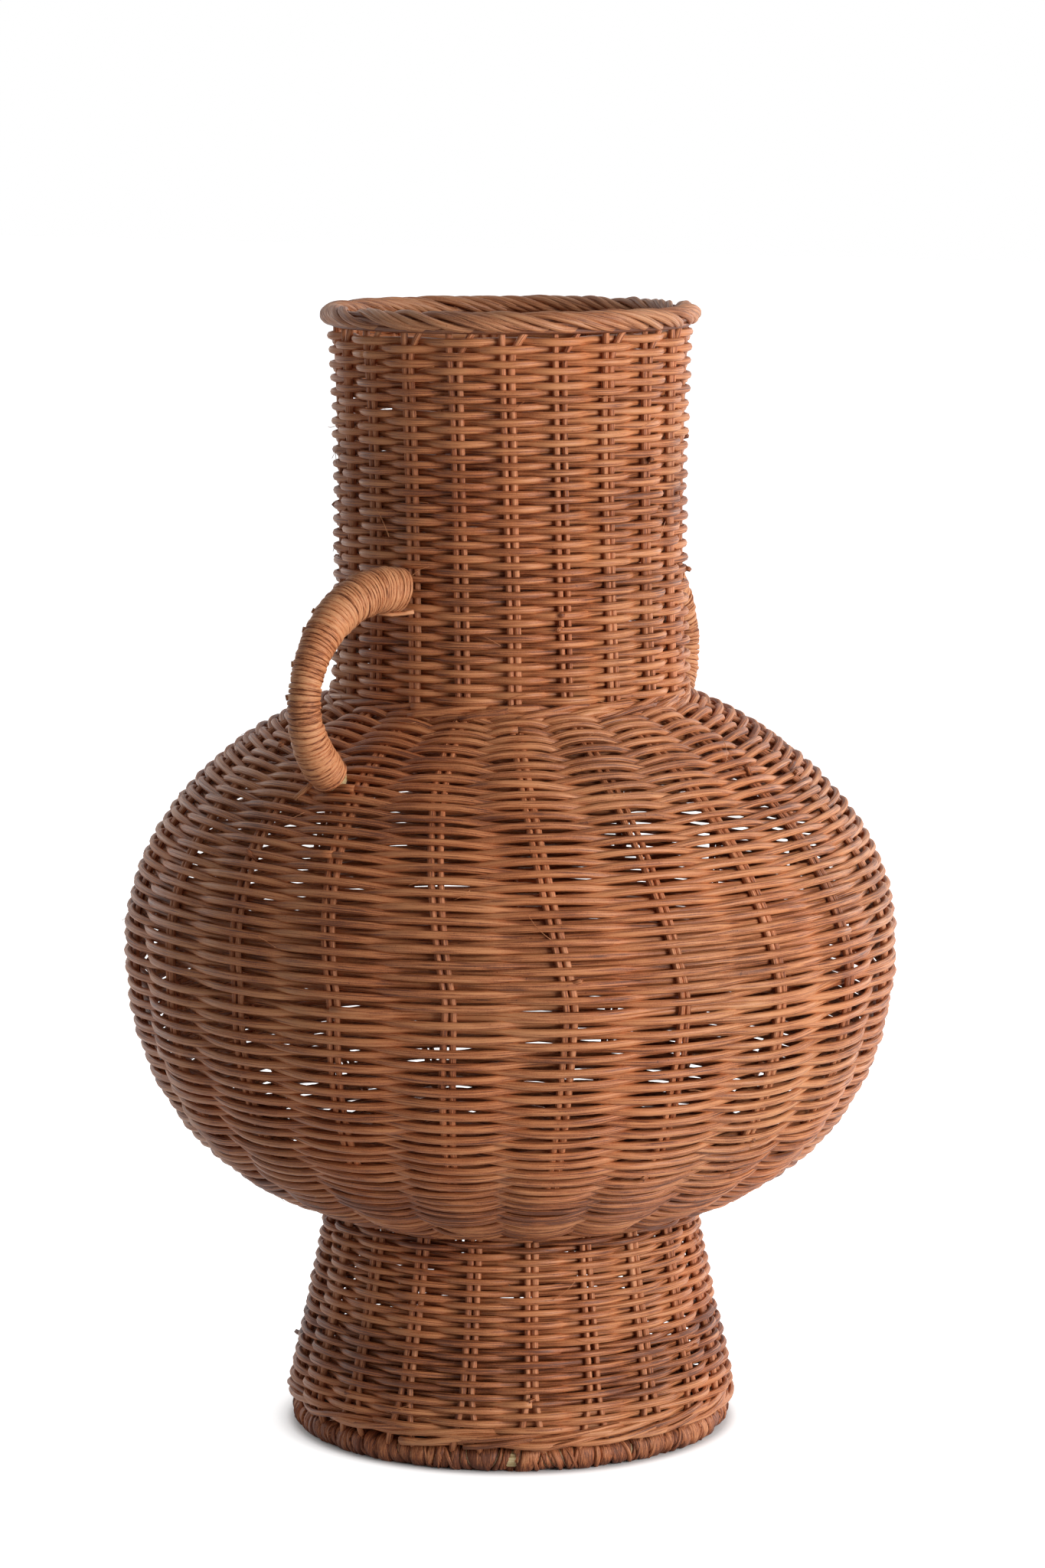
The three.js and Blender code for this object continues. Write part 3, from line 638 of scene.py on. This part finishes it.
# The neck's weave, of the same core as the belly's, over stakes that stand much closer together. It starts
# above the three-cane row at the neck's bottom and ends under the rim.
neck_start = neck_run + 4.5 * mm
neck_end = wall_end - 1.0 * mm
neck_cane = ((neck_run, 1.76 * mm), (wall_end, 1.76 * mm))
neck_pitch = ((neck_run, 3.05 * mm), (wall_end, 3.1 * mm))
neck_loose = ((neck_run, 0.35), (neck_run + 20 * mm, 0.18), (wall_end, 0.16))
neck_swing = ((neck_run, 3.0 * mm), (wall_end, 2.9 * mm))
neck_rows = woven("neck_rows", neck_start, neck_end, 47, neck_cane, neck_pitch, neck_loose, neck_swing)
show("neck_rows", neck_rows, weave_finish, "weave", "neck_weave")

# Where the wall turns a corner, at the bottom of the foot, of the belly and of the neck, three canes are
# woven together: each goes in front of two pairs of stakes and behind one, and climbs over the other two.
wale_swing = 3.0 * mm
wale_outward, wale_share = 0.35, 0.85
wale_rise = 3.2 * mm
wale_stray = 0.35 * mm
wale_steps = 6
wale_tones = (0.65, -0.05, 0.3)


def waled(name, start, rounds, thick, climb, seed):
    """Three canes woven round the vase together, from a run up the wall."""
    chance = np.random.default_rng(seed)
    runs = []
    for strand, tone in enumerate(wale_tones):
        place = np.arange(strand, strand + rounds * stake_pairs, 1 / wale_steps)
        phase = full_turn * (place - strand - 0.5) / len(wale_tones)
        pairs = np.arange(strand, place[-1] + 2)
        stray = np.interp(place, pairs, chance.normal(0, wale_stray, len(pairs)))
        run = start + climb * np.sin(phase) + wale_rise * (place - strand) / stake_pairs + stray
        angle = math.pi + place * full_turn / stake_pairs + drift(run)
        across = wale_swing * (wale_outward + wale_share * np.cos(phase))
        runs.append((on_wall(run, across, angle), thick, tone))
    return canes(name, runs)


neck_wale = waled("neck_wale", neck_run - 1.5 * mm, rounds=1.8, thick=1.65 * mm, climb=3.6 * mm, seed=53)
show("neck_wale", neck_wale, weave_finish, "weave", "neck_weave")
waist_wale = waled("waist_wale", waist_run - 1.5 * mm, rounds=1.1, thick=1.4 * mm, climb=1.5 * mm, seed=57)
show("waist_wale", waist_wale, weave_finish, "weave", "belly_weave")
foot_wale = waled("foot_wale", 4.6 * mm, rounds=1.2, thick=1.35 * mm, climb=1.7 * mm, seed=59)
show("foot_wale", foot_wale, weave_finish, "weave", "foot_weave")

# Where one weaving cane ends and the next begins, the cut ends stand out a little from the wall, beside a
# pair of stakes, and here and there a fibre has split off.
strays_from, strays_to = 6 * mm, wall_end - 8 * mm
cut_ends = 40
cut_end_points = 4
cut_end_thick = 1.35 * mm
cut_end_from_stake = 0.12
cut_end_sunk = 1.0
cut_end_sideways, cut_end_rise, cut_end_out = (3, 6), (-1.5, 2.5), (4.0, 6.5)
cut_end_thick_shares = (0.8, 1.1)
cut_end_tones = (-0.3, 0.4)
split_fibres = 150
fibre_thick = 0.13 * mm
fibre_out = 3.9 * mm
fibre_points = 6
fibre_lengths = (4, 11)
fibre_slope = 0.7
fibre_curl = 60
fibre_lift = (0.05, 0.3)
fibre_tones = (0.4, 1.2)
chance = np.random.default_rng(83)
runs = []
for end in range(cut_ends):
    at = chance.uniform(strays_from, strays_to)
    pair = chance.integers(stake_pairs) + chance.uniform(-cut_end_from_stake, cut_end_from_stake)
    sideways = chance.choice((-1, 1)) * np.array([0, chance.uniform(*cut_end_sideways)]) * mm
    rise = np.array([0, chance.uniform(*cut_end_rise)]) * mm
    outward = np.array([cut_end_sunk, chance.uniform(*cut_end_out)]) * mm
    stub = on_wall(at + rise, outward, math.pi + pair * full_turn / stake_pairs + drift(at), sideways)
    thick = cut_end_thick * chance.uniform(*cut_end_thick_shares)
    runs.append((np.linspace(*stub, cut_end_points), thick, chance.uniform(*cut_end_tones)))
for fibre in range(split_fibres):
    at = chance.uniform(strays_from, strays_to)
    along = np.linspace(0, chance.uniform(*fibre_lengths), fibre_points) * mm
    up = along * chance.uniform(-fibre_slope, fibre_slope)
    up += chance.uniform(-fibre_curl, fibre_curl) * along ** 2
    out = fibre_out + chance.uniform(*fibre_lift) * along
    sideways = chance.choice((-1, 1)) * along
    fibre_line = on_wall(np.clip(at + up, 0, wall_end), out, chance.uniform(0, full_turn), sideways)
    runs.append((fibre_line, fibre_thick, chance.uniform(*fibre_tones)))
strays = canes("cut_ends_and_fibres", runs, 0)
show("cut_ends_and_fibres", strays, weave_finish, "weave", "foot_weave", "belly_weave", "neck_weave")

# The rim: the stakes' tops turned down and rolled together into a rope, three or four side by side, each
# coming up inside, over the top and down the outside, with its end cut off underneath. Plain rings fill it.
rim_low, rim_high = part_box("rim_border")
rim_cane = 1.55 * mm
rim_outside = rim_high.x - 1.1 * mm
rim_inside = 72.1 * mm
rim_middle = (rim_outside + rim_inside) / 2
rim_bottom = rim_low.z + 1.1 * mm
rim_height = (rim_bottom + rim_high.z) / 2
rim_half_width = (rim_outside - rim_inside) / 2 - rim_cane
rim_half_height = (rim_high.z - rim_bottom) / 2 - rim_cane
rim_rolls = 21
rim_roll_stray = 0.2
rim_fours = 0.45
rim_lay = 66 * mm
rim_lay_shares = (0.92, 1.1)
rim_thick_shares = (0.92, 1.05)
rim_tones, rim_tone_stray = (0.1, 0.7), 0.1
rim_side_by_side = 5.8 * mm
rim_roll_points = 38
rim_roll_from, rim_roll_to = math.radians(265), math.radians(-140)
rim_end_sunk, rim_end_bend = 0.6, 6
rim_bulges = (0.02, 0.14, 0.1, -0.02)
rim_bulge_stray = 0.05
rim_ring_points = 90
rim_rings = ((-1.4, -0.9), (1.4, -0.9), (0.0, 1.2), (-2.2, -3.5), (0.2, -3.6))
# The plain rings are painted darker, as shade under and inside the roll.
rim_ring_shade = -0.6
rim_finish = cane_finish(
    "rim_cane", (0.155, 0.047, 0.017), (0.44, 0.175, 0.073), (0.63, 0.31, 0.155), roughness=0.5, gloss=0.5
)
chance = np.random.default_rng(61)
share = np.linspace(0, 1, rim_roll_points)
roll_turn = np.linspace(rim_roll_from, rim_roll_to, rim_roll_points)
sunk = 1 - rim_end_sunk * np.abs(2 * share - 1) ** rim_end_bend
runs = []
for roll in range(rim_rolls):
    start = (roll + chance.uniform(-rim_roll_stray, rim_roll_stray)) * full_turn / rim_rolls
    side_by_side = 4 if chance.uniform() < rim_fours else 3
    roll_tone = chance.uniform(*rim_tones)
    for number in range(side_by_side):
        lay = rim_lay * chance.uniform(*rim_lay_shares)
        proud = sunk * (1 + rim_bulges[number] + rim_bulge_stray * chance.normal())
        angle = start + (number * rim_side_by_side + lay * share) / rim_middle
        out = rim_middle + rim_half_width * proud * np.cos(roll_turn)
        line = around(out, angle, rim_height + rim_half_height * proud * np.sin(roll_turn))
        thick = rim_cane * chance.uniform(*rim_thick_shares)
        runs.append((line, thick, roll_tone + chance.uniform(-rim_tone_stray, rim_tone_stray)))
angle = np.linspace(0, full_turn, rim_ring_points)
for out, up in rim_rings:
    runs.append((around(rim_middle + out * mm, angle, rim_height + up * mm), rim_cane, rim_ring_shade))
show("rim_roll", canes("rim_roll", runs), rim_finish, "rim", "rim_border")

# The two handles: a bent pale pole, pushed into the neck and the shoulder, and bound close from end to end
# with a narrow strip of split cane. Knots of the strip stand out on the side, and its two ends hang loose.
handle_angles = {"left": math.pi, "right": math.radians(2.6)}
knot_turns = {"left": -0.94, "right": 0.94}
handle_top = ((77.8, 379.9), (116.9, 388.9), (145.1, 361.9), (145.1, 336.9))
handle_foot = ((145.1, 336.9), (145.1, 323.3), (135.5, 309.7), (123.7, 302.9))
handle_bend_points = 80
handle_pole_thick = 5.5 * mm
handle_pole_points = 60
handle_pole_tone = 0.5
handle_sides = 36
handle_thick = (
    (0, 9.8 * mm), (15 * mm, 9.7 * mm), (35 * mm, 9.2 * mm), (45 * mm, 8.9 * mm), (55 * mm, 8.2 * mm),
    (65 * mm, 7.4 * mm), (75 * mm, 6.8 * mm), (88 * mm, 6.9 * mm), (97 * mm, 7.1 * mm), (104 * mm, 7.5 * mm),
    (112 * mm, 8.2 * mm), (121 * mm, 8.6 * mm), (130 * mm, 8.0 * mm),
)
winding_width = 2.15 * mm
winding_widths = (0.7, 1.35)
winding_lift = (-0.2 * mm, 0.35 * mm)
winding_edge_up = 0.7 * mm
winding_seam = 1.1 * mm
winding_ripple = 0.12 * mm
winding_askew = 0.9 * mm
winding_askew_from = (0, 6)
winding_slant = ((0, 0.24), (45 * mm, 0))
winding_tones = (0.25, 0.85)
winding_last_tone = 0.5
# Painted shade along the seams between the turns of the handles' strip.
winding_seam_shade = 1.5
winding_end_sink = 0.9
askew_points, askew_turns = 24, 9
knots = ((50 * mm, 0.5), (58 * mm, 0.2), (73 * mm, 0.0), (86 * mm, -0.2))
knot_reach = np.array([-1.5, 0.2, 1.2]) * mm
knot_thick = (1.0 * mm, 1.4 * mm)
knot_tones = (0.0, 0.5)
strip_tail = ((90, -2.0, 371.2), (86, 0.5, 370.6), (82.5, 3.2, 371.0), (80.6, 5.8, 371.8))
strip_tail_thick = 0.95 * mm
strip_stub = ((129, -4.0, 302), (131.5, -5.2, 298.5), (134, -6.4, 295))
strip_stub_thick = 1.2 * mm
strip_end_tone = 0.6
strip_finish = cane_finish(
    "split_cane", (0.165, 0.048, 0.017), (0.535, 0.207, 0.084), (0.74, 0.37, 0.18), roughness=0.55, gloss=0.38
)
bent_line = np.vstack([
    bent(handle_top, handle_bend_points), bent(handle_foot, handle_bend_points)[1:],
]) * mm
bent_run = np.concatenate([[0], np.cumsum(np.hypot(*np.diff(bent_line, axis=0).T))])
bound_start, bound_end = 0.3 * mm, bent_run[-1] - 4.5 * mm
bound_length = bound_end - bound_start
turns = round(bound_length / winding_width)


def on_handle(angle, along):
    """Points along one handle's bent line."""
    out, up = (np.interp(along, bent_run, bent_line[:, k]) for k in (0, 1))
    return around(out, angle, up)


def handle_tube(name, middle, thick):
    """A round tube along one handle, with which ring each of its points is on, and how far round it is."""
    curve = bevelled(name, thick, (handle_sides - 4) // 2)
    add_line(curve, middle, np.ones(len(middle)))
    mesh = made_mesh(curve)
    ring, corner = np.divmod(np.arange(len(mesh.vertices)), handle_sides)
    return mesh, ring, corner * full_turn / handle_sides


for seed, (word, angle) in enumerate(handle_angles.items(), 70):
    chance = np.random.default_rng(seed)
    along = np.linspace(0, bent_run[-1], handle_pole_points)
    pole, ring, round_pole = handle_tube(f"handle_{word}_core", on_handle(angle, along), handle_pole_thick)
    mark(pole, np.full(len(ring), handle_pole_tone), np.column_stack([
        along[ring] / fibre_stretch,
        handle_pole_thick * np.cos(round_pole),
        handle_pole_thick * np.sin(round_pole),
    ]))
    show(f"handle_{word}_core", pole, pole_finish, "pole", f"handle_{word}_pole")

    widths = chance.uniform(*winding_widths, turns)
    widths *= bound_length / widths.sum()
    joins = bound_start + np.concatenate([[0], np.cumsum(widths)])
    turn, level = np.divmod(np.arange(turns * len(strip_levels) + 1), len(strip_levels))
    place, crown = np.array(strip_levels)[level].T
    along = joins[turn] + np.append(widths, 0)[turn] * place
    lift = np.append(chance.uniform(*winding_lift, turns), 0)[turn]
    lift += np.append(chance.uniform(-winding_edge_up, winding_edge_up, turns), 0)[turn] * (place - 0.5)
    stand = reading(along, handle_thick) + crown * lift - (1 - crown) * winding_seam
    stand[[0, -1]] = handle_pole_thick * winding_end_sink
    middle = on_handle(angle, along)
    way_on = np.gradient(middle, along, axis=0)
    way_on /= np.linalg.norm(way_on, axis=1)[:, None]
    places = np.linspace(bound_start, bound_end, askew_points)
    askew = np.interp(along, places, chance.uniform(-winding_askew, winding_askew, askew_points))
    places = np.linspace(bound_start, bound_end, askew_turns)
    askew_from = np.interp(along, places, chance.uniform(*winding_askew_from, askew_turns))
    winding, ring, round_pole = handle_tube(f"handle_{word}_strip", middle, 1.0 * mm)
    away = (points_of(winding) - middle[ring]) / mm
    sideways = away @ np.array([-math.sin(angle), math.cos(angle), 0])
    out = stand[ring] + winding_ripple * np.sin(2 * round_pole + turn[ring])
    on = askew[ring] * np.cos(round_pole - askew_from[ring])
    on += (reading(along, winding_slant) * stand)[ring] * (1 + sideways)
    points = middle[ring] + away * out[:, None] + way_on[ring] * on[:, None]
    winding.vertices.foreach_set("co", points.astype(np.float32).ravel())
    tone = np.append(chance.uniform(*winding_tones, turns), winding_last_tone)[turn]
    # Painted shade in the seams between the turns.
    tone -= winding_seam_shade * (1 - crown)
    mark(winding, tone[ring], np.column_stack([
        along[ring],
        stand[ring] * np.cos(round_pole) / strip_fibre_squeeze,
        stand[ring] * np.sin(round_pole) / strip_fibre_squeeze,
    ]))
    show(f"handle_{word}_strip", winding, strip_finish, "strip", f"handle_{word}_winding")

    runs = []
    knot_turn = angle + knot_turns[word]
    for at, rise in knots:
        way_off = np.array([math.cos(knot_turn), math.sin(knot_turn), rise])
        way_off /= np.linalg.norm(way_off)
        reach = reading(at, handle_thick) + knot_reach[:, None]
        line = on_handle(angle, np.array([at])) + way_off * reach
        runs.append((line, chance.uniform(*knot_thick), chance.uniform(*knot_tones)))
    for tail, thick in ((strip_tail, strip_tail_thick), (strip_stub, strip_stub_thick)):
        out, turned, up = np.array(tail).T
        runs.append((around(out, angle + np.radians(turned), up) * mm, thick, strip_end_tone))
    strip_ends = canes(f"handle_{word}_strip_ends", runs)
    show(f"handle_{word}_strip_ends", strip_ends, strip_finish, "strip", f"handle_{word}_winding")

# The floor and the light of the picture: a plain white floor that runs out of sight, whose glow fades out
# close round the hoop, a painted shadow there beside the real one, a soft light on the right in front, two
# weaker ones behind either side, and a camera a little above the vase, to one side of its handles.
view_turn = math.radians(-53.5)
view_right = Vector((math.cos(view_turn), math.sin(view_turn), 0))
view_on = Vector((-math.sin(view_turn), math.cos(view_turn), 0))
camera_right, camera_away, camera_up = 0.0053, 2.18, 0.6
camera_tilt = math.radians(81.84)
ground_half = 12
ground_grey = 0.7
# How brightly the floor glows to the camera, by distance from the vase's axis: none under the hoop, white a
# little way out. Close to the hoop this lets the floor's real shadow show, and the fade itself paints a
# narrow shadow round it.
glow_and_shadow_steps = ((0.096, 0.0), (0.101, 0.6), (0.107, 0.93), (0.12, 1.0))
room_light = 0.14
light_aim = Vector((0, 0, 0.25))
camera = bpy.data.cameras.new("camera")
camera.sensor_width = 36
camera.lens = 113.87
camera.clip_end = 50
eye = bpy.data.objects.new("camera", camera)
eye.location = view_right * camera_right - view_on * camera_away + Vector((0, 0, camera_up))
eye.rotation_euler = (camera_tilt, 0, view_turn)
bpy.context.scene.collection.objects.link(eye)
bpy.context.scene.camera = eye


def looked_at(nodes, links):
    """1 for the camera's rays, also by way of a gloss or through glass, and 0 for those that light things."""
    rays = nodes.new("ShaderNodeLightPath").outputs
    any_of = rays["Is Camera Ray"]
    for kind in ("Is Glossy Ray", "Is Transmission Ray"):
        larger = nodes.new("ShaderNodeMath")
        larger.operation = "MAXIMUM"
        links.new(any_of, larger.inputs[0])
        links.new(rays[kind], larger.inputs[1])
        any_of = larger.outputs[0]
    return any_of


shape = bmesh.new()
bmesh.ops.create_grid(shape, x_segments=1, y_segments=1, size=ground_half)
ground_mesh = bpy.data.meshes.new("ground")
shape.to_mesh(ground_mesh)
shape.free()
ground = bpy.data.objects.new("ground", ground_mesh)
bpy.context.scene.collection.objects.link(ground)
ground_finish = bpy.data.materials.new("white_floor")
ground_finish.use_nodes = True
nodes, links = ground_finish.node_tree.nodes, ground_finish.node_tree.links
shader = nodes["Principled BSDF"]
shader.inputs["Base Color"].default_value = (ground_grey, ground_grey, ground_grey, 1)
shader.inputs["Roughness"].default_value = 0.9
distance = nodes.new("ShaderNodeVectorMath")
distance.operation = "LENGTH"
links.new(nodes.new("ShaderNodeTexCoord").outputs["Object"], distance.inputs[0])
shadow_fade = nodes.new("ShaderNodeValToRGB")
for k, (place, white) in zip((0, -1), (glow_and_shadow_steps[0], glow_and_shadow_steps[-1])):
    shadow_fade.color_ramp.elements[k].position = place
    shadow_fade.color_ramp.elements[k].color = (white, white, white, 1)
for place, white in glow_and_shadow_steps[1:-1]:
    shadow_fade.color_ramp.elements.new(place).color = (white, white, white, 1)
links.new(distance.outputs["Value"], shadow_fade.inputs["Fac"])
strength = nodes.new("ShaderNodeMath")
strength.operation = "MULTIPLY"
links.new(looked_at(nodes, links), strength.inputs[0])
links.new(shadow_fade.outputs["Color"], strength.inputs[1])
glow = nodes.new("ShaderNodeEmission")
links.new(strength.outputs[0], glow.inputs["Strength"])
both = nodes.new("ShaderNodeAddShader")
links.new(shader.outputs[0], both.inputs[0])
links.new(glow.outputs[0], both.inputs[1])
links.new(both.outputs[0], nodes["Material Output"].inputs["Surface"])
ground_mesh.materials.append(ground_finish)

world = bpy.data.worlds.new("studio")
world.use_nodes = True
bpy.context.scene.world = world
nodes, links = world.node_tree.nodes, world.node_tree.links
level = nodes.new("ShaderNodeMapRange")
level.inputs["To Min"].default_value = room_light
level.inputs["To Max"].default_value = 1.0
links.new(looked_at(nodes, links), level.inputs["Value"])
nodes["Background"].inputs["Color"].default_value = (1, 1, 1, 1)
links.new(level.outputs["Result"], nodes["Background"].inputs["Strength"])


def softbox(name, right, near, up, width, power):
    """A square soft light, placed from the vase as the camera sees it, and turned to the vase's middle."""
    lamp = bpy.data.lights.new(name, "AREA")
    lamp.size = width
    lamp.energy = power
    box = bpy.data.objects.new(name, lamp)
    box.location = view_right * right - view_on * near + Vector((0, 0, up))
    box.rotation_euler = (light_aim - box.location).to_track_quat("-Z", "Y").to_euler()
    bpy.context.scene.collection.objects.link(box)


softbox("right_light", right=1.9, near=1.35, up=0.75, width=1.5, power=53)
softbox("left_back_light", right=-1.5, near=-1.6, up=0.7, width=0.7, power=3.2)
softbox("right_back_light", right=1.5, near=-1.2, up=0.7, width=0.8, power=9)
bpy.context.scene.view_settings.view_transform = "Standard"
